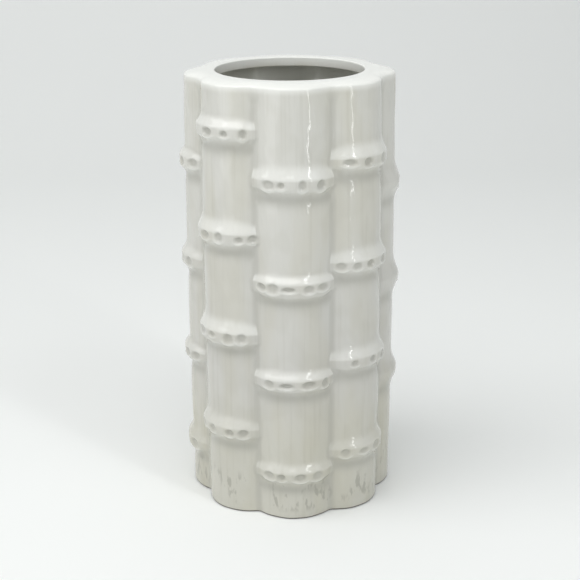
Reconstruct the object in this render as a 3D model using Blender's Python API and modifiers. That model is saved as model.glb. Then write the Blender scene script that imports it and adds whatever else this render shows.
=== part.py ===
"""Ceramic vase in the form of a ring of bamboo culms, closed by a mouth collar and a floor disc.

Metres, +Z up. The origin is the centre of the foot, and the front culm faces -Y.
"""

import math

import bmesh
import bpy
from mathutils import Matrix, Vector

# Driving dimensions of the whole vase
HEIGHT = 0.290
RING_RADIUS = 0.0402
CULM_RADIUS = 0.0285
BARREL = 0.0010
WALL = 0.0050
SEAM = 0.0003

# Each culm by name, going round from the front to the right, with the heights of its nodes
NODE_HEIGHTS = {
    "culm_front": (0.2292, 0.1627, 0.0975, 0.0318),
    "culm_front_right": (0.2402, 0.1734, 0.1073, 0.0435),
    "culm_right": (0.2147, 0.1484, 0.0819),
    "culm_back_right": (0.2520, 0.1855, 0.1190, 0.0525),
    "culm_back": (0.2260, 0.1595, 0.0930, 0.0265),
    "culm_back_left": (0.2450, 0.1785, 0.1120, 0.0455),
    "culm_left": (0.2325, 0.1660, 0.0995, 0.0332),
    "culm_front_left": (0.2592, 0.1923, 0.1258, 0.0589),
}

# One node: a flare out to a dimpled face, and a hollow taper under it
NODE_PROUD = 0.0042
BAND_ABOVE = 0.0036
BAND_BELOW = 0.0042
BAND_TAPER = 0.0005
UNDER_HEIGHT = 0.0085
UNDER_POWER = 2.0
FLARE_POWER = 1.5

# For each node, top node first: the height of its flare, and how tall its face is under the dimples.
# The right culm has longer, rounder nodes.
NODE_SHAPES = {
    "culm_front": ((0.0100, 0.95), (0.0055, 1.35), (0.0075, 1.0), (0.0065, 0.8)),
    "culm_front_right": ((0.0110, 0.95), (0.0100, 0.95), (0.0085, 0.95), (0.0075, 0.95)),
    "culm_right": ((0.0140, 0.2), (0.0140, 0.2), (0.0120, 0.2)),
    "culm_back_right": ((0.0080, 1.0), (0.0090, 0.9), (0.0070, 1.1), (0.0080, 0.9)),
    "culm_back": ((0.0090, 1.0), (0.0070, 1.1), (0.0080, 0.9), (0.0080, 1.0)),
    "culm_back_left": ((0.0070, 1.1), (0.0090, 0.9), (0.0080, 1.0), (0.0070, 1.0)),
    "culm_left": ((0.0055, 1.0), (0.0075, 1.0), (0.0050, 0.9), (0.0080, 0.9)),
    "culm_front_left": ((0.0070, 1.0), (0.0120, 1.0), (0.0080, 1.2), (0.0070, 0.9)),
}

# Dimples pressed into each band: shallow cups, wider than tall
DIMPLE_RADIUS = 0.0054
DIMPLE_DEPTH = 0.0013
DIMPLE_SQUEEZE = 0.8
DIMPLE_SIDES = 6
DIMPLE_RINGS = 6

# Where the dimples of each node sit, in degrees round their culm from its outward side, top node first
DIMPLE_ANGLES = {
    "culm_front": ((-30, -15, 9, 32), (-41, -25, -7, 16, 34), (-31, -10, 16, 38), (-33, -17, 6, 28)),
    "culm_front_right": ((-33, -9, 18, 41), (-42, -23, -5, 21, 42), (-25, 1, 22, 43), (-35, -11, 12, 33)),
    "culm_right": ((-8, 14, 35), (-3, 17, 40), (-9, 10, 34)),
    "culm_back_right": ((-40, -18, 3, 25, 44), (-27, -4, 18, 37), (-38, -15, 6, 29, 48), (-22, 0, 19, 41)),
    "culm_back": ((-47, -25, -6, 15, 38), (-20, 4, 24, 45), (-36, -14, 9, 27, 47), (-45, -24, -1, 20)),
    "culm_back_left": ((-42, -19, 1, 23, 43), (-37, -16, 8, 30), (-48, -28, -7, 13, 36), (-21, 2, 26, 46)),
    "culm_left": ((-43, -24, -3, 18, 42), (-34, -12, 10, 31), (-20, 1, 21, 39), (-35, -13, 8, 29)),
    "culm_front_left": ((-6, 18, 40), (-35, -13, 9, 34, 50), (-25, -4, 19, 35), (-30, -8, 18, 35)),
}

# Edges, and the collar and disc with the rebates that they seat in
RIM_ROUND = 0.0035
FOOT_ROUND = 0.0010
MOUTH_RADIUS = 0.0485
MOUTH_ROUND = 0.0018
COLLAR_HEIGHT = 0.0066
COLLAR_SPIGOT_RADIUS = 0.0532
COLLAR_FLANGE_RADIUS = 0.0567
COLLAR_FLANGE_HEIGHT = 0.0030
FLOOR_TOP = 0.0080
FLOOR_RECESS = 0.0020
FLOOR_SPIGOT_RADIUS = 0.0490
FLOOR_FLANGE_RADIUS = 0.0525
FLOOR_FLANGE_HEIGHT = 0.0032

# Facets, how far a cutter runs past what it cuts, and the distance within which points are one
CULM_STEPS = 28
RING_STEPS = 36
FLARE_STEPS = 2
UNDER_STEPS = 3
ROUND_STEPS = 2
LOBE_STEPS = 6
OVERCUT = 0.005
MERGE = 0.00001

GLAZE_COLOUR = (0.80, 0.80, 0.76, 1.0)
GLAZE_ROUGHNESS = 0.18
FLOOR_COLOUR = (0.74, 0.73, 0.68, 1.0)
FLOOR_ROUGHNESS = 0.35


def clear_scene():
    for obj in list(bpy.data.objects):
        bpy.data.objects.remove(obj, do_unlink=True)


def new_collection(name):
    collection = bpy.data.collections.new(name)
    bpy.context.scene.collection.children.link(collection)
    return collection


def glaze(name, colour, roughness):
    """A glossy ceramic glaze."""
    material = bpy.data.materials.new(name)
    material.use_nodes = True
    shader = material.node_tree.nodes["Principled BSDF"]
    shader.inputs["Base Color"].default_value = colour
    shader.inputs["Roughness"].default_value = roughness
    shader.inputs["Metallic"].default_value = 0.0
    return material


def add_object(name, mesh, collection, material=None):
    obj = bpy.data.objects.new(name, mesh)
    collection.objects.link(obj)
    if material:
        mesh.materials.append(material)
    return obj


def mark_as_cutter(obj):
    obj.hide_render = True
    obj.display_type = "WIRE"


def arc(centre, radius, start, end, steps):
    """Points on an arc in the profile plane, from one angle to another, both ends included."""
    points = []
    for step in range(steps + 1):
        angle = start + (end - start) * step / steps
        points.append((centre[0] + radius * math.cos(angle), centre[1] + radius * math.sin(angle)))
    return points


def turned(name, profile, closed, steps, collection, material=None):
    """A profile of (radius, height) points turned about Z; it runs down the outer side."""
    mesh = bpy.data.meshes.new(name)
    build = bmesh.new()
    verts = [build.verts.new((radius, 0.0, height)) for radius, height in profile]
    for first, second in zip(verts, verts[1:]):
        build.edges.new((first, second))
    if closed:
        build.edges.new((verts[-1], verts[0]))
    build.to_mesh(mesh)
    build.free()
    obj = add_object(name, mesh, collection, material)
    screw = obj.modifiers.new("turn", "SCREW")
    screw.axis = "Z"
    screw.angle = math.tau
    screw.steps = steps
    screw.render_steps = steps
    screw.use_smooth_shade = True
    screw.use_merge_vertices = True
    screw.merge_threshold = MERGE
    return obj


def cut(obj, cutter):
    modifier = obj.modifiers.new("cut_" + cutter.name, "BOOLEAN")
    modifier.operation = "DIFFERENCE"
    modifier.object = cutter


def shade(obj):
    """Smooth shading that keeps the large faces looking flat and even, after the cuts."""
    obj.modifiers.new("even_shading", "WEIGHTED_NORMAL")


def internode_radius(height):
    """A culm's own radius, a little fatter at mid height."""
    return CULM_RADIUS + BARREL * math.sin(math.pi * height / HEIGHT)


def node_profile(height, flare_height, face_share):
    """One node as (radius, height) points from the start of its flare down to the next internode."""
    points = []
    band_top = height + BAND_ABOVE
    band_bottom = height - BAND_BELOW * face_share
    for step in range(FLARE_STEPS + 1):
        share = step / FLARE_STEPS
        points.append((NODE_PROUD * share**FLARE_POWER, band_top + flare_height * (1 - share)))
    for step in range(UNDER_STEPS + 1):
        share = step / UNDER_STEPS
        proud = (NODE_PROUD - BAND_TAPER) * (1 - share) ** UNDER_POWER
        points.append((proud, band_bottom - UNDER_HEIGHT * share))
    return [(internode_radius(z) + proud, z) for proud, z in points]


def culm_profile(name, grow=0.0):
    """A whole culm from the axis at the rim to the axis at the foot, grown all over where asked."""
    rim = internode_radius(HEIGHT)
    foot = internode_radius(0.0)
    points = arc((rim - RIM_ROUND, HEIGHT - RIM_ROUND), RIM_ROUND, math.pi / 2, 0.0, ROUND_STEPS)
    for height, shape in zip(NODE_HEIGHTS[name], NODE_SHAPES[name]):
        points += node_profile(height, *shape)
    points += arc((foot - FOOT_ROUND, FOOT_ROUND), FOOT_ROUND, 0.0, -math.pi / 2, 1)
    grown = [(radius + grow, height) for radius, height in points]
    return [(0.0, HEIGHT + grow)] + [(grown[0][0], HEIGHT + grow)] + grown[1:-1] + [
        (grown[-1][0], -grow),
        (0.0, -grow),
    ]


def culm_matrix(index):
    """Places a culm on the ring, with its own -Y side facing out."""
    turn = Matrix.Rotation(math.tau * index / len(NODE_HEIGHTS), 4, "Z")
    return turn @ Matrix.Translation((0.0, -RING_RADIUS, 0.0))


def lobed_outline(radius):
    """The outline that circles of this radius make together, one on each culm's axis."""
    half = math.pi / len(NODE_HEIGHTS)
    ridge = RING_RADIUS * math.cos(half)
    ridge += math.sqrt(radius**2 - (RING_RADIUS * math.sin(half)) ** 2)
    reach = math.atan2(ridge * math.sin(half), ridge * math.cos(half) - RING_RADIUS)
    points = []
    for index in range(len(NODE_HEIGHTS)):
        place = culm_matrix(index)
        for step in range(LOBE_STEPS):
            angle = -reach + 2 * reach * step / LOBE_STEPS
            points.append(place @ Vector((radius * math.sin(angle), -radius * math.cos(angle), 0.0)))
    return points


def make_cavity(collection):
    """The lobed hollow that a wall of even thickness leaves, from the floor up to the shelf."""
    low = FLOOR_TOP
    high = HEIGHT - COLLAR_HEIGHT
    curve = bpy.data.curves.new("cavity_outline", "CURVE")
    curve.dimensions = "2D"
    curve.fill_mode = "BOTH"
    curve.extrude = (high - low) / 2
    outline = lobed_outline(CULM_RADIUS - WALL)
    spline = curve.splines.new("POLY")
    spline.points.add(len(outline) - 1)
    for point, place in zip(spline.points, outline):
        point.co = (place.x, place.y, 0.0, 1.0)
    spline.use_cyclic_u = True
    drawn = add_object("cavity_outline", curve, collection)
    drawn.location.z = (low + high) / 2
    bpy.context.view_layer.update()
    mesh = bpy.data.meshes.new_from_object(drawn.evaluated_get(bpy.context.evaluated_depsgraph_get()))
    build = bmesh.new()
    build.from_mesh(mesh)
    bmesh.ops.remove_doubles(build, verts=build.verts, dist=MERGE)
    build.to_mesh(mesh)
    build.free()
    cavity = add_object("cavity", mesh, collection)
    cavity.matrix_world = drawn.matrix_world
    bpy.data.objects.remove(drawn)
    mark_as_cutter(cavity)
    return cavity


def make_seats(collection):
    """The stepped round holes that the collar and the disc drop into."""
    collar = [
        (0.0, HEIGHT + OVERCUT),
        (COLLAR_FLANGE_RADIUS + SEAM, HEIGHT + OVERCUT),
        (COLLAR_FLANGE_RADIUS + SEAM, HEIGHT - COLLAR_FLANGE_HEIGHT - SEAM),
        (COLLAR_SPIGOT_RADIUS + SEAM, HEIGHT - COLLAR_FLANGE_HEIGHT - SEAM),
        (COLLAR_SPIGOT_RADIUS + SEAM, HEIGHT - COLLAR_HEIGHT - OVERCUT),
        (0.0, HEIGHT - COLLAR_HEIGHT - OVERCUT),
    ]
    flange_bottom = FLOOR_TOP - FLOOR_FLANGE_HEIGHT - SEAM
    disc = [
        (0.0, FLOOR_TOP + OVERCUT),
        (FLOOR_FLANGE_RADIUS + SEAM, FLOOR_TOP + OVERCUT),
        (FLOOR_FLANGE_RADIUS + SEAM, flange_bottom),
        (FLOOR_SPIGOT_RADIUS + SEAM, flange_bottom),
        (FLOOR_SPIGOT_RADIUS + SEAM, -OVERCUT),
        (0.0, -OVERCUT),
    ]
    seats = []
    for name, profile in (("collar_seat", collar), ("disc_seat", disc)):
        seat = turned(name, profile, False, RING_STEPS, collection)
        mark_as_cutter(seat)
        seats.append(seat)
    return seats


def make_dimples(name, place, collection):
    """Flattened balls that press a row of dimples into every node of one culm."""
    mesh = bpy.data.meshes.new(name + "_dimples")
    build = bmesh.new()
    for height, angles in zip(NODE_HEIGHTS[name], DIMPLE_ANGLES[name]):
        reach = internode_radius(height) + NODE_PROUD - DIMPLE_DEPTH + DIMPLE_RADIUS
        for degrees in angles:
            turn = Matrix.Rotation(math.radians(degrees), 4, "Z")
            spot = Matrix.Translation((0.0, -reach, height))
            squeeze = Matrix.Diagonal((1.0, 1.0, DIMPLE_SQUEEZE, 1.0))
            pole_out = Matrix.Rotation(math.pi / 2, 4, "X")
            bmesh.ops.create_uvsphere(
                build,
                u_segments=DIMPLE_SIDES,
                v_segments=DIMPLE_RINGS,
                radius=DIMPLE_RADIUS,
                matrix=turn @ spot @ squeeze @ pole_out,
            )
    build.to_mesh(mesh)
    build.free()
    dimples = add_object(name + "_dimples", mesh, collection)
    dimples.matrix_world = place
    mark_as_cutter(dimples)
    return dimples


def make_culms(parts, cutters, material):
    """The culms. Every second one is whole, and those between are coped to fit round their neighbours."""
    cavity = make_cavity(cutters)
    seats = make_seats(cutters)
    names = list(NODE_HEIGHTS)
    neighbours = {}
    for index in range(0, len(names), 2):
        profile = culm_profile(names[index], SEAM)
        cope = turned(names[index] + "_cope", profile, False, CULM_STEPS, cutters)
        cope.matrix_world = culm_matrix(index)
        mark_as_cutter(cope)
        neighbours[index] = cope
    for index, name in enumerate(names):
        place = culm_matrix(index)
        profile = culm_profile(name)
        culm = turned(name, profile, False, CULM_STEPS, parts, material)
        culm.matrix_world = place
        cut(culm, cavity)
        for seat in seats:
            cut(culm, seat)
        if index % 2:
            cut(culm, neighbours[index - 1])
            cut(culm, neighbours[(index + 1) % len(names)])
        cut(culm, make_dimples(name, place, cutters))
        shade(culm)


def make_collar(parts, material):
    """The ring round the mouth: a flange in the rim's rebate, and a spigot with a rounded mouth."""
    low = HEIGHT - COLLAR_HEIGHT
    step = HEIGHT - COLLAR_FLANGE_HEIGHT
    bend = MOUTH_RADIUS + MOUTH_ROUND
    profile = [
        (COLLAR_FLANGE_RADIUS, HEIGHT),
        (COLLAR_FLANGE_RADIUS, step),
        (COLLAR_SPIGOT_RADIUS, step),
        (COLLAR_SPIGOT_RADIUS, low),
    ]
    profile += arc((bend, low + MOUTH_ROUND), MOUTH_ROUND, -math.pi / 2, -math.pi, ROUND_STEPS)
    profile += arc((bend, HEIGHT - MOUTH_ROUND), MOUTH_ROUND, math.pi, math.pi / 2, ROUND_STEPS)
    shade(turned("mouth_collar", profile, True, RING_STEPS, parts, material))


def make_floor(parts, material):
    """The disc that closes the vase: a flange on the bottom shelf and a spigot, recessed above the foot."""
    step = FLOOR_TOP - FLOOR_FLANGE_HEIGHT
    profile = [
        (0.0, FLOOR_TOP),
        (FLOOR_FLANGE_RADIUS, FLOOR_TOP),
        (FLOOR_FLANGE_RADIUS, step),
        (FLOOR_SPIGOT_RADIUS, step),
        (FLOOR_SPIGOT_RADIUS, FLOOR_RECESS),
        (0.0, FLOOR_RECESS),
    ]
    shade(turned("floor_disc", profile, False, RING_STEPS, parts, material))


def main():
    clear_scene()
    parts = new_collection("bamboo_vase")
    cutters = new_collection("cutters")
    white = glaze("white_glaze", GLAZE_COLOUR, GLAZE_ROUGHNESS)
    inner = glaze("floor_glaze", FLOOR_COLOUR, FLOOR_ROUGHNESS)
    make_culms(parts, cutters, white)
    make_collar(parts, white)
    make_floor(parts, inner)


main()
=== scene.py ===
"""Looks of the bamboo vase: a glazed skin over the solids, a pale sweep, soft light and the camera."""

import math

import bpy
import numpy as np
from mathutils import Euler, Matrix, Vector


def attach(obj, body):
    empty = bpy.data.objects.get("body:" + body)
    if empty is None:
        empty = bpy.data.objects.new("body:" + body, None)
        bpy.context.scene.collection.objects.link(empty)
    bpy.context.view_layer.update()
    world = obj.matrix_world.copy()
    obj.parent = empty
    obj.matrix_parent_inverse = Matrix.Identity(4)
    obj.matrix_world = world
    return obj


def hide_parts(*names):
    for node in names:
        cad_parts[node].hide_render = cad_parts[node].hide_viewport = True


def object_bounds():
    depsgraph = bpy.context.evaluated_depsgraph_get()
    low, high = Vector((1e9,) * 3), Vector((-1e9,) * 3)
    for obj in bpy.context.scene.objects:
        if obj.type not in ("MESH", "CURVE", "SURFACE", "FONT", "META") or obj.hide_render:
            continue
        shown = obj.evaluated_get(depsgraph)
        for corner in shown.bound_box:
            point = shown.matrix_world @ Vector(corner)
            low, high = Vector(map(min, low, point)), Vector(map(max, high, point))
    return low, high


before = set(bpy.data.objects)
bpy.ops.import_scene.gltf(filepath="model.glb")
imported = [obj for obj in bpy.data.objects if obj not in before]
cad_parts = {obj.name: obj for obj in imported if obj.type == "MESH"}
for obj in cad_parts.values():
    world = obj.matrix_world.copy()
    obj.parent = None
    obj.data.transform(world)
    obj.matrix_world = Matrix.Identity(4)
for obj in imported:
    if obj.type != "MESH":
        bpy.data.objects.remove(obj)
CAD_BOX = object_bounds()
MM = 0.001

# The vase's main sizes, as in the solids
HEIGHT = CAD_BOX[1].z - CAD_BOX[0].z
CULMS = (
    "culm_front",
    "culm_front_right",
    "culm_right",
    "culm_back_right",
    "culm_back",
    "culm_back_left",
    "culm_left",
    "culm_front_left",
)
COUNT = len(CULMS)
STEP = math.tau / COUNT
RING_RADIUS = 40.2 * MM
CULM_RADIUS = 28.5 * MM
BARREL = 1.0 * MM
WALL = 5.0 * MM

# Node heights of each culm in millimetres, top node first, as in the solids
NODE_HEIGHTS = (
    (229.2, 162.7, 97.5, 31.8),
    (240.2, 173.4, 107.3, 43.5),
    (214.7, 148.4, 81.9),
    (252.0, 185.5, 119.0, 52.5),
    (226.0, 159.5, 93.0, 26.5),
    (245.0, 178.5, 112.0, 45.5),
    (232.5, 166.0, 99.5, 33.2),
    (259.2, 192.3, 125.8, 58.9),
)

# One node: how proud it stands, its face above and below the dimples' middle, and its flare
NODE_PROUD = 3.85 * MM
NODE_REACH = 33.0 * MM
BAND_ABOVE = 3.6 * MM
BAND_BELOW = 4.2 * MM
BAND_TAPER = 0.4 * MM
FLARE_POWER = 1.9

# The taper and the faint waist under a node, and the longer taper under one with a low face
UNDER_HEIGHT = 10.0 * MM
UNDER_POWER = 4.0
LOW_FACE = 0.5
LONG_UNDER_HEIGHT = 16.0 * MM
LONG_UNDER_POWER = 2.0
WAIST_DEPTH = 0.5 * MM
WAIST_MIDDLE = 11.0 * MM
WAIST_WIDTH = 5.0 * MM

# How soft a node's edges are at the crispest, and what the least crisp adds to that
SOFTNESS = 0.75 * MM
SOFTER = 0.9 * MM
SOFT_REACH = 3.0
SOFT_SPARE = 0.01
CURVE_STEP = 0.1 * MM

# Painted highlight on a node's up-facing skirt, above its face, and on its lower lip
CREST_REACH = 1.7
CREST_HEIGHT = 10.0 * MM
CREST_EDGE = 1.6 * MM
LIP_SHARE = 0.45
LIP_WIDTH = 1.3 * MM

# Each node, top one first: its flare's height in millimetres, its face's share of height, its crispness,
# which also scales its painted highlight
NODE_SHAPES = (
    ((12, 0.95, 1.0), (6, 1.35, 0.95), (7, 1.0, 0.9), (6.5, 0.8, 0.5)),
    ((11, 0.95, 0.95), (10, 0.95, 0.85), (8.5, 0.95, 0.8), (7.5, 0.95, 0.4)),
    ((14, 0.2, 0.0), (14, 0.2, 0.0), (12, 0.2, 0.0)),
    ((8, 1.0, 0.8), (9, 0.9, 0.7), (7, 1.1, 0.6), (8, 0.9, 0.5)),
    ((9, 1.0, 0.7), (7, 1.1, 0.8), (8, 0.9, 0.6), (8, 1.0, 0.5)),
    ((7, 1.1, 0.9), (9, 0.9, 0.6), (8, 1.0, 0.7), (7, 1.0, 0.4)),
    ((5.5, 1.0, 0.8), (7.5, 1.0, 0.8), (5, 0.9, 0.7), (8, 0.9, 0.3)),
    ((7.5, 1.0, 0.9), (11, 1.0, 1.0), (10, 1.2, 0.95), (8, 0.9, 0.45)),
)

# Towards a culm's sides its nodes stand less proud and are less tall
SIDE_FADE = 0.65
SIDE_ROUND = 0.3
SIDE_START = math.radians(30)
SIDE_END = math.radians(62)

# Dimples: half width, half height, depth, the bead round the lower half, and how much these vary
DIMPLE_WIDE = 4.3 * MM
DIMPLE_TALL = 3.05 * MM
DIMPLE_DEPTH = 1.5 * MM
DIMPLE_BEAD = 0.5 * MM
DIMPLE_SHIFT = 0.5 * MM
DIMPLE_CHANGE = 0.32
DIMPLE_SEED = 5
DIMPLE_FLAT = 0.5
DIMPLE_SCOOP = 0.2
BEAD_AWAY = 1.22
BEAD_WIDTH = 0.26
BEAD_TOP = -0.2
# How much the dimples' painted shade, partly glaze pooling, darkens towards their tops
PIT_SHADE = 0.28
SCALLOP = 0.06

# Where the dimples of each node sit, in degrees round their culm, top node first
DIMPLE_ANGLES = (
    ((-30, -15, 9, 32), (-41, -25, -7, 16, 34), (-31, -10, 16, 38), (-33, -17, 6, 28)),
    ((-33, -9, 18, 41), (-42, -23, -5, 21, 42), (-25, 1, 22, 43), (-35, -11, 12, 33)),
    ((-8, 14, 35), (-3, 17, 40), (-9, 10, 34)),
    ((-40, -18, 3, 25, 44), (-27, -4, 18, 37), (-38, -15, 6, 29, 48), (-22, 0, 19, 41)),
    ((-47, -25, -6, 15, 38), (-20, 4, 24, 45), (-36, -14, 9, 27, 47), (-45, -24, -1, 20)),
    ((-42, -19, 1, 23, 43), (-37, -16, 8, 30), (-48, -28, -7, 13, 36), (-21, 2, 26, 46)),
    ((-43, -24, -3, 18, 42), (-34, -12, 10, 31), (-20, 1, 21, 39), (-35, -13, 8, 29)),
    ((-6, 18, 40), (-35, -13, 9, 34, 50), (-25, -4, 19, 35), (-30, -8, 18, 35)),
)

# Glaze that fills the grooves between the culms; painted shade that darkens the grooves, partly glaze
# pooling, and painted shadow under the nodes
GROOVE_FILL = 3.0 * MM
RIM_FILL = 5.0 * MM
RIM_FILL_START = 276 * MM
INNER_FILL = 4.4 * MM
GROOVE_SHADE = 0.56
RIM_CLEAR = 9.0 * MM
UNDER_NODE_SHADOW = 0.78
UNDER_NODE_SHADOW_MIDDLE = 10.2 * MM
UNDER_NODE_SHADOW_WIDTH = 4.3 * MM

# Rim, mouth, floor and foot
RIM_DROP = 2.9 * MM
MOUTH_RADIUS = 48.5 * MM
MOUTH_ROUND = 1.0 * MM
COLLAR_HEIGHT = 6.6 * MM
COLLAR_SEAM = 54.5 * MM
FLOOR_TOP = 8.0 * MM
FLOOR_FILLET = 1.8 * MM
FLOOR_DISH = 0.4 * MM
FLOOR_MIDDLE = 0.6 * MM
FLOOR_ROWS = 12
FLOOR_SEAM = 52.5 * MM
FLOOR_RECESS = 2.0 * MM
FOOT_ROUND = 1.2 * MM

# Hand-made unevenness: how far the clay strays, and its waves' counts round the vase and pitch in height
WOBBLE = 0.13 * MM
WOBBLE_COUNTS = (6, 30)
WOBBLE_PITCH = (40, 160)
RIPPLE = 0.022 * MM
RIPPLE_COUNTS = (60, 150)
RIPPLE_PITCH = (150, 700)
WAVES = 14
WAVE_SEED = 11

# Grid of the skin, and how its points are settled on the wall's surface
COLUMNS = 64
ROWS = 470
ROUND_ROWS = 12
FLAT_ROWS = 4
FOOT_ROWS = 1 + FLAT_ROWS
INNER_ROWS = 44
SETTLING_STEPS = 5
LEAST_SLOPE = 0.2
LEAST_LENGTH = 1e-12
MASKS = ("pooling_and_shade", "painted_highlight")

# The camera, found by fitting the mouth, the foot and the culms' outlines
CAMERA_AWAY = 0.8519
CAMERA_HEIGHT = 0.4238
CAMERA_PITCH = math.radians(18.52)
CAMERA_TURN = math.radians(-2.0)
CAMERA_PAN = math.radians(-1.965)
CAMERA_ROLL = math.radians(0.33)
CAMERA_LENS = 81.55
SENSOR_WIDTH = 36

# Glaze colours, and the shares of those laid over others
GLAZE_COLOUR = (0.698, 0.693, 0.647, 1)
LOW_COLOUR = (0.610, 0.602, 0.568, 1)
FOOT_COLOUR = (0.608, 0.598, 0.532, 1)
STREAK_COLOUR = (0.88, 0.875, 0.85, 1)
STREAK_SHARE = 0.42
PATCH_SHARE = 0.3
CLOUD_COLOUR = (0.93, 0.915, 0.845, 1)
CLOUD_SHARE = 0.55
# Painted highlight: the rim top, the node skirts and lips and the inside are lightened towards this
# colour
HIGHLIGHT_COLOUR = (0.90, 0.905, 0.865, 1)
HIGHLIGHT_SHARE = 0.5
LINING_HIGHLIGHT = 1.0
# Painted shade in dimples and grooves, partly glaze pooling, and painted shadow under the nodes
POOLING_AND_SHADE_COLOUR = (0.40, 0.395, 0.35, 1)
POOLING_AND_SHADE_SHARE = 0.66
SMUDGE_COLOUR = (0.36, 0.35, 0.30, 1)
SMUDGE_SHARE = 0.62
# Bare clay at the foot, made dark partly as a painted contact shadow
CLAY_AND_CONTACT_SHADOW_COLOUR = (0.16, 0.15, 0.13, 1)

# Heights where a tone starts and where it is full; smudges keep between two heights with soft edges
LOW_FADE = (1.02 * HEIGHT, 0.1 * HEIGHT)
FOOT_FADE = (0.36 * HEIGHT, 0.16 * HEIGHT)
# The painted highlight on the rim top fades in between these heights
RIM_HIGHLIGHT_FADE = (HEIGHT - 7.1 * MM, HEIGHT - 1.2 * MM)
SMUDGE_ZONE = (9 * MM, 22 * MM, 5 * MM, 10 * MM)
BARE_HEIGHT = 1.3 * MM
BARE_UNDERSIDE = 3.0 * MM
BARE_EDGE = 0.7

# Noise in the glaze: its patches to the metre along each axis, and its detail
STREAK_NOISE = ((330, 330, 9), 3.0)
CLOUD_NOISE = ((38, 38, 9), 2.0)
PATCH_NOISE = ((60, 60, 45), 1.0)
SMEAR_NOISE = ((310, 310, 105), 2.0)
FINE_NOISE = ((520, 520, 150), 2.0)
NOISE_ROUGHNESS = 0.55

# Noise levels between which each mark fades in
STREAK_FADE = (0.5, 0.72)
CLOUD_FADE = (0.42, 0.66)
PATCH_FADE = (0.46, 0.64)
SMEAR_FADE = (0.51, 0.62)
SMUDGED_FADE = (0.41, 0.55)

# Gloss: the least roughness, what clouds and bare clay add to it, the fine bump and the index
ROUGHNESS = 0.045
CLOUD_ROUGHNESS = 0.07
CLAY_ROUGHNESS = 0.6
BUMP_STRENGTH = 0.10
BUMP_HEIGHT = 0.12 * MM
GLAZE_IOR = 1.52

# The sweep of paper under and behind the vase
PAPER_COLOUR = (0.92, 0.933, 0.922, 1)
SWEEP_FRONT = 2.6
SWEEP_SIDE = 2.6
SWEEP_BACK = 0.9
SWEEP_BEND = 0.7
SWEEP_TOP = 2.6
SWEEP_STEPS = 32
PAPER_ROUGHNESS = 0.9
PAPER_SPECULAR = 0.1

# Lamps: name, place, aim, width and height, watts, colour
LAMPS = (
    ("overhead", (-0.25, -0.30, 2.2), (-0.25, -0.30, 0), (2.4, 2.4), 9.0, (1, 1, 1)),
    ("key", (-0.52, -0.77, 1.95), (0, 0, 0.12), (2.0, 1.5), 16.8, (1, 1, 1)),
    ("left", (-1.576, -0.278, 1.5), (0, 0, 0.12), (1.0, 1.0), 5.6, (1, 1, 1)),
    ("right", (1.15, -1.11, 1.5), (0, 0, 0.12), (1.0, 1.0), 2.1, (0.93, 0.99, 1.05)),
    ("low_left", (-0.86, -0.64, 0.26), (0, 0, 0.26), (0.62, 0.52), 0.9, (1, 1, 1)),
    ("window", (0.68, -0.87, 0.9), (0, 0, 0.15), (0.065, 0.9), 1.6, (1, 1, 1)),
    ("pane", (0.68, -0.77, 1.55), (0, 0, 0.15), (0.16, 0.32), 1.3, (1, 1, 1)),
    ("low_window", (0.64, -0.83, 0.14), (0, 0, 0.14), (0.045, 0.27), 0.25, (1, 1, 1)),
)
WORLD_COLOUR = (0.98, 1.0, 1.0, 1)
WORLD_STRENGTH = 0.315
SEEN_STRENGTH = 0.43


def node_heights(culm):
    """Heights of a culm's nodes in metres, top node first."""
    return [height * MM for height in NODE_HEIGHTS[culm]]


def smooth(value):
    """0 up to 0, 1 from 1 on, and an even curve between."""
    value = np.clip(value, 0, 1)
    return value * value * (3 - 2 * value)


def node_curve(flare_size, face_share, crispness):
    """How proud a node stands at each height from its dimples' middle, and how strong its painted
    highlight is there.
    """
    heights = np.arange(-NODE_REACH, NODE_REACH, CURVE_STEP)
    below = BAND_BELOW * face_share
    flare_height = flare_size * MM
    softness = SOFTNESS + SOFTER * (1 - crispness)
    under_height, under_power = UNDER_HEIGHT, UNDER_POWER
    if face_share < LOW_FACE:
        under_height, under_power = LONG_UNDER_HEIGHT, LONG_UNDER_POWER
    flare = np.clip(1 - (heights - BAND_ABOVE) / flare_height, 0, 1) ** FLARE_POWER
    under = np.clip(1 - (-below - heights) / under_height, 0, 1) ** under_power
    face = NODE_PROUD - BAND_TAPER * np.clip((BAND_ABOVE - heights) / (BAND_ABOVE + below), 0, 1)
    reach = np.arange(-SOFT_REACH, SOFT_REACH + SOFT_SPARE, CURVE_STEP / softness)
    kernel = np.exp(-(reach**2) / 2)
    waist = WAIST_DEPTH * np.exp(-(((heights + WAIST_MIDDLE) / WAIST_WIDTH) ** 2))
    over = heights - BAND_ABOVE
    fall = CREST_REACH * (1 - over / min(flare_height, CREST_HEIGHT))
    skirt = smooth(fall) * smooth(1 + over / CREST_EDGE)
    lip = LIP_SHARE * np.exp(-(((heights + below) / LIP_WIDTH) ** 2))
    relief = np.convolve(face * flare * under - waist, kernel / kernel.sum(), "same")
    return heights, relief, crispness * np.maximum(skirt, lip)


NODE_CURVES = [[node_curve(*shape) for shape in shapes] for shapes in NODE_SHAPES]


def make_waves(chance, counts, pitches):
    """Waves round the vase, each with a whole count, a pitch in height and a phase."""
    waves = []
    for _ in range(WAVES):
        waves.append((chance.integers(*counts), chance.uniform(*pitches), chance.uniform(0, math.tau)))
    return waves


WAVE_CHANCE = np.random.default_rng(WAVE_SEED)
SLOW_WAVES = make_waves(WAVE_CHANCE, WOBBLE_COUNTS, WOBBLE_PITCH)
FAST_WAVES = make_waves(WAVE_CHANCE, RIPPLE_COUNTS, RIPPLE_PITCH)


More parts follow.
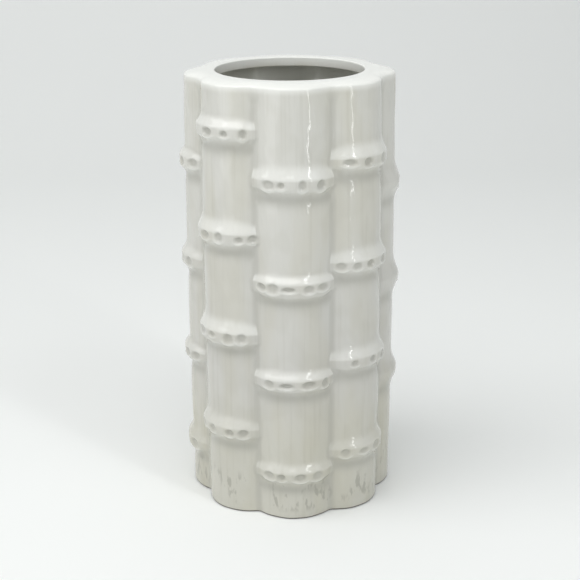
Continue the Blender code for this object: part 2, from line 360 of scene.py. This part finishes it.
def unevenness(turn, height):
    """How far the clay strays from its true form at this angle round the vase and this height."""
    total = np.zeros(np.broadcast(turn, height).shape)
    for size, waves in ((WOBBLE, SLOW_WAVES), (RIPPLE, FAST_WAVES)):
        for round_count, pitch, phase in waves:
            total += size / math.sqrt(WAVES) * np.sin(round_count * turn + pitch * height + phase)
    return total


def culm_centre(culm):
    """Where a culm's axis meets the floor."""
    angle = STEP * culm
    return RING_RADIUS * math.sin(angle), -RING_RADIUS * math.cos(angle)


def make_dimples():
    """For each node of each culm, its dimples as (angle, half width, half height, depth, bead, rise)."""
    chance = np.random.default_rng(DIMPLE_SEED)
    sizes = np.array((DIMPLE_WIDE, DIMPLE_TALL, DIMPLE_DEPTH, DIMPLE_BEAD))
    table = []
    for culm in DIMPLE_ANGLES:
        nodes = []
        for angles in culm:
            change = 1 + DIMPLE_CHANGE * chance.uniform(-1, 1, (len(angles), len(sizes)))
            rise = DIMPLE_SHIFT * chance.uniform(-1, 1, len(angles))
            nodes.append([(math.radians(a), *(sizes * c), r) for a, c, r in zip(angles, change, rise)])
        table.append(nodes)
    return table


DIMPLES = make_dimples()


def plain_radius(culm, height):
    """A culm's radius with its nodes as they are at its sides, with no dimples."""
    radius = CULM_RADIUS + BARREL * np.sin(math.pi * height / HEIGHT)
    for node, curve in zip(node_heights(culm), NODE_CURVES[culm]):
        radius = radius + (1 - SIDE_FADE) * np.interp(height - node, *curve[:2])
    return radius


def node_relief(local, above, curve, dimples):
    """What one node adds to a culm's radius, its mask of painted shade in the dimples (partly glaze
    pooling) and painted shadow under it, and its mask of painted highlight.
    """
    relief = np.zeros(local.shape)
    shade_and_pooling = np.zeros(local.shape)
    lips = np.zeros(local.shape)
    rings = np.zeros(local.shape)
    for angle, wide, tall, depth, bead, rise in dimples:
        across = (local - angle) * (CULM_RADIUS + NODE_PROUD) / wide
        up = (above - rise) / tall
        away = np.hypot(across, up)
        pit = 1 - smooth((away - DIMPLE_FLAT) / (1 - DIMPLE_FLAT))
        ring = np.exp(-(((away - BEAD_AWAY) / BEAD_WIDTH) ** 2)) * smooth(BEAD_TOP - up)
        rising = np.clip(up, -1, 1)
        scoop = pit * (1 - DIMPLE_SCOOP + DIMPLE_SCOOP * rising)
        relief += bead * ring - depth * scoop
        shade_and_pooling = np.maximum(shade_and_pooling, pit * (1 - PIT_SHADE + PIT_SHADE * rising))
        lips = np.maximum(lips, np.exp(-(across**2)))
        rings = np.maximum(rings, ring)
    aside = smooth((np.abs(local) - SIDE_START) / (SIDE_END - SIDE_START))
    side = 1 - SIDE_FADE * aside
    scalloped = np.where(above < 0, above / (1 + SCALLOP * (lips - 0.5)), above)
    stretched = scalloped / (1 - SIDE_ROUND * aside)
    # Painted shadow cast under the node
    shade = np.exp(-(((above + UNDER_NODE_SHADOW_MIDDLE) / UNDER_NODE_SHADOW_WIDTH) ** 2))
    shade_and_pooling = np.maximum(shade_and_pooling, UNDER_NODE_SHADOW * shade)
    heights, proud, highlight = curve
    # Painted highlight on the skirt, the lower lip and the beads
    highlight = np.maximum(np.interp(stretched, heights, highlight), rings)
    return relief + side * np.interp(stretched, heights, proud), shade_and_pooling * (1 - rings), highlight


def culm_radius(culm, local, height):
    """A culm's radius with its nodes and dimples, and its masks of painted shade, of how proud its nodes
    stand, and of painted highlight.
    """
    radius = CULM_RADIUS + BARREL * np.sin(math.pi * height / HEIGHT)
    shade_and_pooling, proud, highlight = np.zeros((3, *local.shape))
    for node, curve, dimples in zip(node_heights(culm), NODE_CURVES[culm], DIMPLES[culm]):
        above = height - node
        near = np.abs(above[0]) < NODE_REACH
        relief, pit, painted_highlight = node_relief(local[:, near], above[:, near], curve, dimples)
        radius[:, near] += relief
        shade_and_pooling[:, near] = np.maximum(shade_and_pooling[:, near], pit)
        proud[:, near] = np.maximum(proud[:, near], relief / NODE_PROUD)
        highlight[:, near] = np.maximum(highlight[:, near], painted_highlight)
    return radius, np.stack((shade_and_pooling, np.clip(proud, 0, 1), highlight))


def crease(first, second):
    """The crease between two neighbours: its angle from midway between them, and its distance out."""
    apart = 2 * RING_RADIUS * math.sin(STEP / 2)
    aside = (first**2 - second**2) / (2 * apart)
    out = RING_RADIUS * math.cos(STEP / 2) + np.sqrt(first**2 - (aside + apart / 2) ** 2)
    return np.arctan2(aside, out), np.hypot(aside, out)


def soft_least(first, second, first_slope, second_slope, blend):
    """The lesser of two distances, rounded where they are near each other."""
    share = np.clip(0.5 + 0.5 * (second - first) / blend, 0, 1)
    least = second + (first - second) * share - blend * share * (1 - share)
    slope = second_slope + (first_slope - second_slope) * share[..., None]
    return least, slope, 4 * share * (1 - share)


def distance_to_wall(point, height, culm, radius_of, blend):
    """Distance from the walls of a culm and its neighbours, its slope, and the groove and node masks."""
    found = []
    for other in (culm, (culm - 1) % COUNT, (culm + 1) % COUNT):
        offset = point - np.array(culm_centre(other))
        away = np.linalg.norm(offset, axis=-1)
        local = np.arctan2(offset[..., 0], -offset[..., 1]) - STEP * other
        local = (local + math.pi) % math.tau - math.pi
        radius, marks = radius_of(other, local, height)
        found.append((away - radius, offset / away[..., None], marks))
    least, slope, groove = soft_least(found[0][0], found[1][0], found[0][1], found[1][1], blend)
    least, slope, second_groove = soft_least(least, found[2][0], slope, found[2][1], blend)
    return least, slope, np.maximum(groove, second_groove), found[0][2]


def settle(point, height, depth, culm, radius_of, blend):
    """Moves points in their own level plane until they lie this deep under the wall's surface."""
    for _ in range(SETTLING_STEPS):
        away, slope, groove, marks = distance_to_wall(point, height, culm, radius_of, blend)
        step = (away + depth) / np.maximum((slope**2).sum(-1), LEAST_SLOPE)
        point = point - slope * step[..., None]
    return point, groove, marks


def outer_radius(culm, local, height):
    """A culm's outer radius with its unevenness, and its masks."""
    radius, marks = culm_radius(culm, local, height)
    turn = STEP * culm + np.arctan2(radius * np.sin(local), RING_RADIUS + radius * np.cos(local))
    return radius + unevenness(turn, height), marks


def inner_radius(culm, local, height):
    """A culm's inner radius, plain and with empty masks."""
    return np.full(local.shape, CULM_RADIUS - WALL), np.zeros((3, *local.shape))


def column_points(culm, radii):
    """First guess at a culm's columns, evenly spaced round it from crease to crease."""
    before, own, after = radii[culm - 1], radii[culm], radii[(culm + 1) % COUNT]
    left_turn, left_out = crease(own, before)
    right_turn, right_out = crease(own, after)
    ends = []
    for turn, out, side in ((left_turn, left_out, -1), (right_turn, right_out, 1)):
        aside = side * (STEP / 2 + turn)
        ends.append(np.arctan2(out * np.sin(aside), out * np.cos(aside) - RING_RADIUS))
    share = np.arange(COLUMNS)[:, None] / COLUMNS
    local = ends[0] + (ends[1] - ends[0]) * share + STEP * culm
    return np.array(culm_centre(culm)) + np.stack((own * np.sin(local), -own * np.cos(local)), -1)


def circle_row(points, radius, height):
    """A row on a circle round the vase's axis, at the angles of these points."""
    turn = np.arctan2(points[:, 0], -points[:, 1])
    level = np.full(turn.shape, height)
    return np.stack((radius * np.sin(turn), -radius * np.cos(turn), level), -1)[:, None]


def rows_to_circle(points, radius, height):
    """Flat rows from these points to a circle round the vase's axis."""
    goal = circle_row(points, radius, height)
    share = (np.arange(FLAT_ROWS) + 1)[None, :, None] / FLAT_ROWS
    return points[:, None] + (goal - points[:, None]) * share


def rim_rows(points):
    """Rounded rows from the wall's top in to the collar's seam, where they lie flat."""
    turn = np.linspace(0, math.pi / 2, ROUND_ROWS + 1)[1:, None]
    goal = circle_row(points, COLLAR_SEAM, HEIGHT)
    away = points[:, None] - goal
    return goal + away * np.concatenate((np.cos(turn), np.cos(turn), 1 - np.sin(turn)), -1)


def outer_run():
    """The glazed skin as a ring of columns, from the foot's inner edge up to the collar's seam."""
    foot = np.linspace(0, math.pi / 2, ROUND_ROWS + 1)[:-1]
    wall = np.linspace(FOOT_ROUND, HEIGHT - RIM_DROP, ROWS)
    heights = np.concatenate((FOOT_ROUND * (1 - np.cos(foot)), wall))
    depths = np.concatenate((FOOT_ROUND * (1 - np.sin(foot)), np.zeros(ROWS)))
    radii = [plain_radius(culm, heights) for culm in range(COUNT)]
    fill = GROOVE_FILL + RIM_FILL * smooth((heights - RIM_FILL_START) / (HEIGHT - RIM_FILL_START))
    groove_share = GROOVE_SHADE * smooth((HEIGHT - RIM_DROP - heights) / RIM_CLEAR)
    skin, masks = [], []
    for culm in range(COUNT):
        guess = column_points(culm, radii)
        level = np.broadcast_to(heights, guess.shape[:2])
        point, groove, (shade_and_pooling, proud, highlight) = settle(guess, level, depths, culm, outer_radius, fill)
        skin.append(np.concatenate((point, level[..., None]), -1))
        # Painted shade in the grooves, partly glaze pooling, kept off proud and highlighted nodes
        shaded = groove_share * groove * (1 - np.maximum(proud, highlight))
        masks.append(np.stack((np.maximum(shade_and_pooling, shaded), highlight), -1))
    skin = np.concatenate(skin)
    step = circle_row(skin[:, 0], FLOOR_SEAM, FLOOR_RECESS)
    foot_rows = rows_to_circle(skin[:, 0], FLOOR_SEAM, 0.0)[:, ::-1]
    masks = np.pad(np.concatenate(masks), ((0, 0), (FOOT_ROWS, ROUND_ROWS), (0, 0)))
    return np.concatenate((step, foot_rows, skin, rim_rows(skin[:, -1])), 1), masks


def inner_run(skin):
    """The inside as a ring of columns: under the shelf, down the wall, round a fillet to the floor."""
    turn = np.linspace(0, math.pi / 2, ROUND_ROWS // 2 + 1)
    shelf = HEIGHT - COLLAR_HEIGHT
    fillet_top = FLOOR_TOP + FLOOR_FILLET
    wall = np.linspace(shelf, fillet_top, INNER_ROWS)[:-1]
    heights = np.concatenate((wall, fillet_top - FLOOR_FILLET * np.sin(turn)))
    depths = np.concatenate((np.zeros(len(wall)), FLOOR_FILLET * (1 - np.cos(turn))))
    radii = [np.full(heights.shape, CULM_RADIUS - WALL)] * COUNT
    rows = []
    for culm in range(COUNT):
        guess = column_points(culm, radii)
        level = np.broadcast_to(heights, guess.shape[:2])
        point, _, _ = settle(guess, level, depths, culm, inner_radius, INNER_FILL)
        rows.append(np.concatenate((point, level[..., None]), -1))
    under = circle_row(skin[:, -1], COLLAR_SEAM, shelf)
    floor = circle_row(skin[:, 0], FLOOR_SEAM, FLOOR_TOP)
    return np.concatenate((under, np.concatenate(rows), floor), 1)


def ring_normals(points):
    """A normal for each point of a ring of columns, from the points beside it."""
    along = np.gradient(points, axis=1)
    across = np.roll(points, -1, 0) - np.roll(points, 1, 0)
    normal = np.cross(across, along)
    return normal / np.maximum(np.linalg.norm(normal, axis=-1, keepdims=True), LEAST_LENGTH)


def grid_faces(columns, rows, start, wrap=False):
    """Quads of a grid whose points are stored column by column."""
    column, row = np.meshgrid(np.arange(columns - (not wrap)), np.arange(rows - 1), indexing="ij")
    near = start + column * rows + row
    far = start + (column + 1) % columns * rows + row
    return np.stack((near, far, far + 1, near + 1), -1).reshape(-1, 4)


def build_piece(name, points, normals, smooth_faces, flat_faces, masks):
    """A mesh whose smooth faces take the given normals, so that neighbours meet with no seam."""
    mesh = bpy.data.meshes.new(name)
    faces = smooth_faces.tolist() + [list(face) for face in flat_faces]
    mesh.from_pydata(points.tolist(), [], faces)
    shade = np.ones(len(faces), bool)
    shade[len(smooth_faces):] = False
    mesh.polygons.foreach_set("use_smooth", shade)
    corners = np.zeros(len(mesh.loops), np.int32)
    mesh.loops.foreach_get("vertex_index", corners)
    facing = np.zeros(len(faces) * 3)
    mesh.polygons.foreach_get("normal", facing)
    sizes = np.zeros(len(faces), np.int32)
    mesh.polygons.foreach_get("loop_total", sizes)
    corner_normals = np.repeat(facing.reshape(-1, 3), sizes, 0)
    smooth_corners = smooth_faces.size
    corner_normals[:smooth_corners] = normals[corners[:smooth_corners]]
    mesh.normals_split_custom_set(corner_normals.tolist())
    for column, key in enumerate(MASKS):
        layer = mesh.attributes.new(key, "FLOAT", "POINT")
        layer.data.foreach_set("value", masks[:, column].astype(np.float32))
    piece = bpy.data.objects.new(name, mesh)
    bpy.context.scene.collection.objects.link(piece)
    return piece


def dress(piece, node, material):
    """Gives a piece its material, and puts it in the place of a node."""
    piece.data.materials.append(material)
    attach(piece, "root")
    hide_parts(node)


def joint_face(outer, inner, outer_start, inner_start, flip):
    """One long side of a culm, as a ladder of faces between its outer and its inner column."""
    heights = np.where(np.arange(len(outer)) < FOOT_ROWS, -HEIGHT, outer[:, 2])
    faces = []
    top, lining_top = len(outer) - 1, 0
    for row in range(1, len(inner) - 1):
        cut = int(np.argmin(np.abs(heights - inner[row, 2])))
        if cut < top:
            faces.append((range(cut, top + 1), range(lining_top, row + 1)))
            top, lining_top = cut, row
    faces.append((range(0, top + 1), range(lining_top, len(inner))))
    rings = []
    for wall, lining in faces:
        rings.append([outer_start + row for row in wall] + [inner_start + row for row in lining])
    return [ring[::-1] for ring in rings] if flip else rings


def make_culms(outer, masks, inner, material):
    """A closed, glazed stave for each culm, cut from the ring along the creases."""
    outer_normals, inner_normals = ring_normals(outer), ring_normals(inner)
    rows, inner_rows = outer.shape[1], inner.shape[1]
    inner_start = (COLUMNS + 1) * rows
    # Painted highlight over the whole inside
    lining_masks = np.tile((0.0, LINING_HIGHLIGHT), ((COLUMNS + 1) * inner_rows, 1))
    for culm, name in enumerate(CULMS):
        pick = np.arange(culm * COLUMNS, (culm + 1) * COLUMNS + 1) % (COUNT * COLUMNS)
        skin, lining = outer[pick], inner[pick]
        skin_faces = grid_faces(COLUMNS + 1, rows, 0)
        lining_faces = grid_faces(COLUMNS + 1, inner_rows, inner_start)
        flat = []
        for column in range(COLUMNS):
            near, far = column * rows, (column + 1) * rows
            near_in, far_in = inner_start + column * inner_rows, inner_start + (column + 1) * inner_rows
            flat.append((near + rows - 1, far + rows - 1, far_in, near_in))
            flat.append((far, near, near_in + inner_rows - 1, far_in + inner_rows - 1))
        for column, flip in ((0, False), (COLUMNS, True)):
            starts = column * rows, inner_start + column * inner_rows
            flat += joint_face(skin[column], lining[column], *starts, flip)
        piece = build_piece(
            name + "_glazed",
            np.concatenate((skin.reshape(-1, 3), lining.reshape(-1, 3))),
            np.concatenate((outer_normals[pick].reshape(-1, 3), inner_normals[pick].reshape(-1, 3))),
            np.concatenate((skin_faces, lining_faces)),
            flat,
            np.concatenate((masks[pick].reshape(-1, len(MASKS)), lining_masks)),
        )
        dress(piece, name, material)


def turned(profile, turns):
    """A profile of (radius, height) points turned to each of these angles."""
    radius, height = np.array(profile).T
    across = np.sin(turns)[:, None] * radius
    back = -np.cos(turns)[:, None] * radius
    return np.stack((across, back, np.broadcast_to(height, across.shape)), -1)


def arc(centre, radius, start, end, steps):
    """Points on an arc from one angle in degrees to another, both ends included."""
    turns = np.radians(np.linspace(start, end, steps + 1))
    return [(centre[0] + radius * math.cos(turn), centre[1] + radius * math.sin(turn)) for turn in turns]


def make_collar(turns, material):
    """The ring round the mouth: a flat top, a rounded edge, a short wall and a rounded lower edge."""
    shelf = HEIGHT - COLLAR_HEIGHT
    bend = MOUTH_RADIUS + MOUTH_ROUND
    profile = [(radius, HEIGHT) for radius in np.linspace(COLLAR_SEAM, bend, FLAT_ROWS + 1)[:-1]]
    profile += arc((bend, HEIGHT - MOUTH_ROUND), MOUTH_ROUND, 90, 180, ROUND_ROWS)
    profile += arc((bend, shelf + MOUTH_ROUND), MOUTH_ROUND, 180, 270, ROUND_ROWS)
    profile += [(COLLAR_SEAM, shelf)]
    points = turned(profile, turns)
    columns, rows = points.shape[:2]
    flat = []
    for column in range(columns):
        near, far = column * rows, (column + 1) % columns * rows
        flat.append((near + rows - 1, far + rows - 1, far, near))
    piece = build_piece(
        "mouth_collar_glazed",
        points.reshape(-1, 3),
        ring_normals(points).reshape(-1, 3),
        grid_faces(columns, rows, 0, wrap=True),
        flat,
        np.zeros((columns * rows, len(MASKS))),
    )
    dress(piece, "mouth_collar", material)


def make_floor(turns, material):
    """The disc that closes the vase, a little dished inside and plain underneath."""
    radii = np.linspace(FLOOR_SEAM, FLOOR_MIDDLE, FLOOR_ROWS)
    dish = FLOOR_DISH * (1 - (radii / FLOOR_SEAM) ** 2)
    upper = turned(np.stack((radii, FLOOR_TOP - dish), -1), turns)
    lower = turned(np.stack((radii[::-1], np.full(FLOOR_ROWS, FLOOR_RECESS)), -1), turns)
    columns, rows = upper.shape[:2]
    start = columns * rows
    flat = [
        [column * rows + rows - 1 for column in range(columns)],
        [start + column * rows for column in range(columns)][::-1],
    ]
    for column in range(columns):
        near, far = column * rows, (column + 1) % columns * rows
        flat.append((start + near + rows - 1, start + far + rows - 1, far, near))
    grids = [grid_faces(columns, rows, first, wrap=True) for first in (0, start)]
    piece = build_piece(
        "floor_disc_glazed",
        np.concatenate((upper.reshape(-1, 3), lower.reshape(-1, 3))),
        np.concatenate((ring_normals(upper).reshape(-1, 3), ring_normals(lower).reshape(-1, 3))),
        np.concatenate(grids),
        flat,
        np.zeros((columns * rows * 2, len(MASKS))),
    )
    dress(piece, "floor_disc", material)


class Nodes:
    """Adds shader nodes and links to one material."""

    def __init__(self, name):
        self.material = bpy.data.materials.new(name)
        self.material.use_nodes = True
        self.tree = self.material.node_tree
        self.shader = self.tree.nodes["Principled BSDF"]

    def add(self, kind, links=(), **settings):
        """A new node with its settings, and with values or links for its sockets."""
        node = self.tree.nodes.new(kind)
        for key, value in settings.items():
            setattr(node, key, value)
        for socket, value in dict(links).items():
            self.feed(node.inputs[socket], value)
        return node

    def feed(self, socket, value):
        """Links a socket to another, or sets its value."""
        if isinstance(value, bpy.types.NodeSocket):
            self.tree.links.new(value, socket)
        else:
            socket.default_value = value

    def math(self, operation, *values):
        return self.add("ShaderNodeMath", enumerate(values), operation=operation).outputs[0]

    def window(self, value, low, high, soft_low, soft_high):
        """1 between two limits, falling to 0 over a soft edge at each."""
        rise = self.fade(value, low - soft_low, low)
        fall = self.fade(value, high + soft_high, high)
        return self.math("MULTIPLY", rise, fall)

    def fade(self, value, start, end):
        """0 at start and before it, 1 at end and past it."""
        links = {"Value": value, "From Min": start, "From Max": end}
        return self.add("ShaderNodeMapRange", links, interpolation_type="SMOOTHSTEP").outputs["Result"]

    def noise(self, place, stretch, detail):
        """Cloudy noise, with a count of its patches to the metre along each axis."""
        scaled = self.add("ShaderNodeVectorMath", ((0, place), (1, stretch)), operation="MULTIPLY")
        links = {"Vector": scaled.outputs[0], "Scale": 1.0, "Detail": detail}
        links["Roughness"] = NOISE_ROUGHNESS
        return self.add("ShaderNodeTexNoise", links).outputs["Fac"]

    def mix(self, share, first, second, blend="MIX"):
        """A colour this far from the first to the second, or to the first tinted by the second."""
        node = self.add("ShaderNodeMix", data_type="RGBA", blend_type=blend)
        colours = [socket for socket in node.inputs if socket.type == "RGBA"]
        self.feed(node.inputs[0], share)
        self.feed(colours[0], first)
        self.feed(colours[1], second)
        return [socket for socket in node.outputs if socket.type == "RGBA"][0]

    def cover(self, under, mask, share, colour):
        """A colour laid over another where a mask says, up to this share."""
        return self.mix(self.math("MULTIPLY", mask, share), under, colour)

    def tint(self, under, mask, share, colour):
        """A colour tinted by another where a mask says, up to this share."""
        return self.mix(self.math("MULTIPLY", mask, share), under, colour, "MULTIPLY")

    def mask(self, name):
        """A mask that is stored on the mesh."""
        return self.add("ShaderNodeAttribute", attribute_name=name).outputs["Fac"]


def glaze(name, bare_height):
    """Glossy off-white glaze: streaks, clouds, painted highlights on the rim and node skirts, painted
    shade in the dimples and grooves (partly glaze pooling), painted shadow under the nodes, and a
    smudged, bare foot whose dark clay is partly a painted contact shadow.
    """
    nodes = Nodes(name)
    place = nodes.add("ShaderNodeTexCoord").outputs["Object"]
    height = nodes.add("ShaderNodeSeparateXYZ", {"Vector": place}).outputs["Z"]
    streaks = nodes.noise(place, *STREAK_NOISE)
    clouds = nodes.noise(place, *CLOUD_NOISE)
    patches = nodes.noise(place, *PATCH_NOISE)
    smears = nodes.noise(place, *SMEAR_NOISE)
    low = nodes.mix(nodes.fade(height, *FOOT_FADE), LOW_COLOUR, FOOT_COLOUR)
    colour = nodes.mix(nodes.fade(height, *LOW_FADE), GLAZE_COLOUR, low)
    colour = nodes.tint(colour, nodes.fade(streaks, *STREAK_FADE), STREAK_SHARE, STREAK_COLOUR)
    colour = nodes.tint(colour, nodes.fade(clouds, *CLOUD_FADE), CLOUD_SHARE, CLOUD_COLOUR)
    colour = nodes.tint(colour, nodes.fade(patches, *PATCH_FADE), PATCH_SHARE, STREAK_COLOUR)
    # Painted highlight on the rim top, then on the node skirts and lips
    colour = nodes.mix(nodes.fade(height, *RIM_HIGHLIGHT_FADE), colour, HIGHLIGHT_COLOUR)
    colour = nodes.cover(colour, nodes.mask("painted_highlight"), HIGHLIGHT_SHARE, HIGHLIGHT_COLOUR)
    # Painted shade in dimples and grooves, partly glaze pooling, and painted shadow under the nodes
    colour = nodes.cover(colour, nodes.mask("pooling_and_shade"), POOLING_AND_SHADE_SHARE, POOLING_AND_SHADE_COLOUR)
    smudge = nodes.math("MULTIPLY", nodes.fade(smears, *SMEAR_FADE), nodes.fade(patches, *SMUDGED_FADE))
    smudge = nodes.math("MULTIPLY", smudge, nodes.window(height, *SMUDGE_ZONE))
    colour = nodes.cover(colour, smudge, SMUDGE_SHARE, SMUDGE_COLOUR)
    # Bare clay at the foot, its dark colour partly a painted contact shadow
    bare = nodes.fade(height, bare_height, BARE_EDGE * bare_height)
    nodes.feed(nodes.shader.inputs["Base Color"], nodes.mix(bare, colour, CLAY_AND_CONTACT_SHADOW_COLOUR))
    gloss = nodes.math("MULTIPLY_ADD", clouds, CLOUD_ROUGHNESS, ROUGHNESS)
    nodes.feed(nodes.shader.inputs["Roughness"], nodes.math("MULTIPLY_ADD", bare, CLAY_ROUGHNESS, gloss))
    fine = nodes.noise(place, *FINE_NOISE)
    links = {"Strength": BUMP_STRENGTH, "Distance": BUMP_HEIGHT, "Height": fine}
    nodes.feed(nodes.shader.inputs["Normal"], nodes.add("ShaderNodeBump", links).outputs["Normal"])
    nodes.feed(nodes.shader.inputs["IOR"], GLAZE_IOR)
    return nodes.material


def paper(name):
    """The plain, matt, pale sweep under and behind the vase."""
    nodes = Nodes(name)
    nodes.feed(nodes.shader.inputs["Base Color"], PAPER_COLOUR)
    nodes.feed(nodes.shader.inputs["Roughness"], PAPER_ROUGHNESS)
    nodes.feed(nodes.shader.inputs["Specular IOR Level"], PAPER_SPECULAR)
    return nodes.material


def make_sweep(material):
    """A floor that curves up into a backdrop behind the vase."""
    bend = arc((SWEEP_BACK, SWEEP_BEND), SWEEP_BEND, -90, 0, SWEEP_STEPS)
    profile = [(-SWEEP_FRONT, 0.0), *bend, (SWEEP_BACK + SWEEP_BEND, SWEEP_TOP)]
    points = [(side * SWEEP_SIDE, y, z) for side in (-1, 1) for y, z in profile]
    count = len(profile)
    faces = [(row, count + row, count + row + 1, row + 1) for row in range(count - 1)]
    mesh = bpy.data.meshes.new("sweep")
    mesh.from_pydata(points, [], faces)
    mesh.polygons.foreach_set("use_smooth", [True] * len(faces))
    mesh.materials.append(material)
    sweep = bpy.data.objects.new("sweep", mesh)
    bpy.context.scene.collection.objects.link(sweep)


def add_lamp(name, place, aim, size, power, colour):
    """A soft rectangular lamp at a place, turned to an aim point."""
    lamp = bpy.data.lights.new(name, "AREA")
    lamp.shape = "RECTANGLE"
    lamp.size, lamp.size_y = size
    lamp.energy = power
    lamp.color = colour
    holder = bpy.data.objects.new(name, lamp)
    holder.location = place
    holder.rotation_euler = (Vector(aim) - Vector(place)).to_track_quat("-Z", "Y").to_euler()
    bpy.context.scene.collection.objects.link(holder)


def add_world():
    """Even light from all round, which shows paler to the camera and in reflections past the paper."""
    world = bpy.data.worlds.new("studio")
    world.use_nodes = True
    tree = world.node_tree
    lit = tree.nodes["Background"]
    seen = tree.nodes.new("ShaderNodeBackground")
    for background, strength in ((lit, WORLD_STRENGTH), (seen, SEEN_STRENGTH)):
        background.inputs["Color"].default_value = WORLD_COLOUR
        background.inputs["Strength"].default_value = strength
    chosen = tree.nodes.new("ShaderNodeMixShader")
    rays = tree.nodes.new("ShaderNodeLightPath").outputs
    share = rays["Is Camera Ray"]
    for other in ("Is Glossy Ray", "Is Transmission Ray"):
        either = tree.nodes.new("ShaderNodeMath")
        either.operation = "MAXIMUM"
        tree.links.new(share, either.inputs[0])
        tree.links.new(rays[other], either.inputs[1])
        share = either.outputs[0]
    tree.links.new(share, chosen.inputs[0])
    tree.links.new(lit.outputs[0], chosen.inputs[1])
    tree.links.new(seen.outputs[0], chosen.inputs[2])
    tree.links.new(chosen.outputs[0], tree.nodes["World Output"].inputs["Surface"])
    bpy.context.scene.world = world


def add_camera():
    """The camera, looking a little down on the vase from the front."""
    lens = bpy.data.cameras.new("camera")
    lens.lens = CAMERA_LENS
    lens.sensor_width = SENSOR_WIDTH
    holder = bpy.data.objects.new("camera", lens)
    across = CAMERA_AWAY * math.sin(CAMERA_TURN)
    back = -CAMERA_AWAY * math.cos(CAMERA_TURN)
    holder.location = (across, back, CAMERA_HEIGHT)
    level = Euler((math.pi / 2 - CAMERA_PITCH, 0, CAMERA_PAN)).to_matrix()
    holder.rotation_euler = (level @ Euler((0, 0, -CAMERA_ROLL)).to_matrix()).to_euler()
    bpy.context.scene.collection.objects.link(holder)
    bpy.context.scene.camera = holder


white_glaze = glaze("white_glaze", BARE_HEIGHT)
rim_glaze = glaze("rim_glaze", BARE_HEIGHT)
floor_glaze = glaze("floor_glaze", BARE_UNDERSIDE)
outer, outer_masks = outer_run()
inner = inner_run(outer)
seam_turns = np.arctan2(outer[:, -1, 0], -outer[:, -1, 1])
make_culms(outer, outer_masks, inner, white_glaze)
make_collar(seam_turns, rim_glaze)
make_floor(np.arctan2(outer[:, 0, 0], -outer[:, 0, 1]), floor_glaze)
make_sweep(paper("paper"))
for lamp in LAMPS:
    add_lamp(*lamp)
add_world()
add_camera()
bpy.context.scene.view_settings.view_transform = "Standard"
